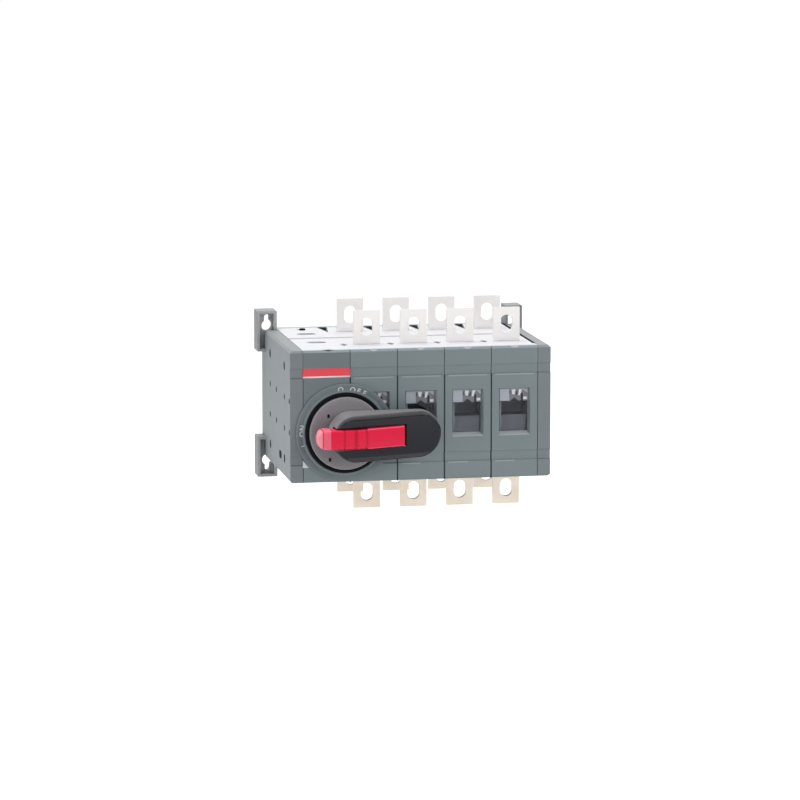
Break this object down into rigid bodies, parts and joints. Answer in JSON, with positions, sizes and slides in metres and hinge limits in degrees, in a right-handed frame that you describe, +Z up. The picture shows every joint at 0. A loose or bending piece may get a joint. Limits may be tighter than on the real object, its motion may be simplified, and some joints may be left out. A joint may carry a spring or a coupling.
{
  "type": "changeover switch",
  "caption": "Panel-mounted changeover switch: grey moulded housings one behind the other, contact windows, bolt-on terminal bars and a rotary handle with a padlock lever.",
  "frame": {"origin": "on the mounting plane, behind the middle of the housings", "axes": "+X right along the row of poles, +Y back into the mounting panel, +Z up; the handle faces -Y"},
  "size_m": [0.204, 0.1721, 0.1472],
  "materials": {
    "housing_grey": "fine-grained moulding",
    "end_cover_grey": "fine-grained moulding",
    "foot_grey": "fine-grained moulding",
    "terminal_metal": "plated bar, finely brushed",
    "cover_white": "smooth moulding",
    "clear_pane": "smoked clear plastic",
    "roller_grey": "smooth moulding",
    "label_white": "printed label",
    "strip_red": "plain coloured strip",
    "dial_grey": "smooth moulding",
    "ring_black": "smooth moulding",
    "shaft_steel": "turned bar",
    "handle_black": "satin moulding",
    "lever_red": "satin moulding"
  },
  "bodies": {
    "switch_body": {"end_cover_left": "end_cover_grey", "end_cover_right": "end_cover_grey", "mechanism_front": "housing_grey", "mechanism_rear": "housing_grey", "pole_housing_front_1": "housing_grey", "pole_housing_front_2": "housing_grey", "pole_housing_front_3": "housing_grey", "pole_housing_front_4": "housing_grey", "pole_housing_rear_1": "housing_grey", "pole_housing_rear_2": "housing_grey", "pole_housing_rear_3": "housing_grey", "pole_housing_rear_4": "housing_grey", "foot_left_top": "foot_grey", "foot_left_bottom": "foot_grey", "foot_right_top": "foot_grey", "foot_right_bottom": "foot_grey", "terminals_front_1": "terminal_metal", "terminals_front_2": "terminal_metal", "terminals_front_3": "terminal_metal", "terminals_front_4": "terminal_metal", "terminals_rear_1": "terminal_metal", "terminals_rear_2": "terminal_metal", "terminals_rear_3": "terminal_metal", "terminals_rear_4": "terminal_metal", "top_covers_front": "cover_white", "top_covers_rear": "cover_white", "bottom_covers_front": "cover_white", "bottom_covers_rear": "cover_white", "window_pane_1": "clear_pane", "window_pane_2": "clear_pane", "window_pane_3": "clear_pane", "window_pane_4": "clear_pane", "contact_roller_1": "roller_grey", "contact_roller_2": "roller_grey", "contact_roller_3": "roller_grey", "contact_roller_4": "roller_grey", "position_labels": "label_white", "coloured_strip": "strip_red", "dial_plate": "dial_grey", "dial_ring": "ring_black"},
    "handle": {"handle_shaft": "shaft_steel", "handle_hub": "handle_black", "handle_grip": "handle_black", "lever_pin": "shaft_steel"},
    "lever": {"padlock_lever": "lever_red"}
  },
  "joints": [
    {"name": "handle_turn", "type": "hinge", "parent": "switch_body", "child": "handle", "pos_m": [-0.0565, -0.136, -0.012], "axis": [0, -1, 0], "range_deg": [0, 180]},
    {"name": "lever_swing", "type": "hinge", "parent": "handle", "child": "lever", "pos_m": [-0.0215, -0.15633, -0.012], "axis": [0, 0, 1], "range_deg": [0, 22]}
  ]
}
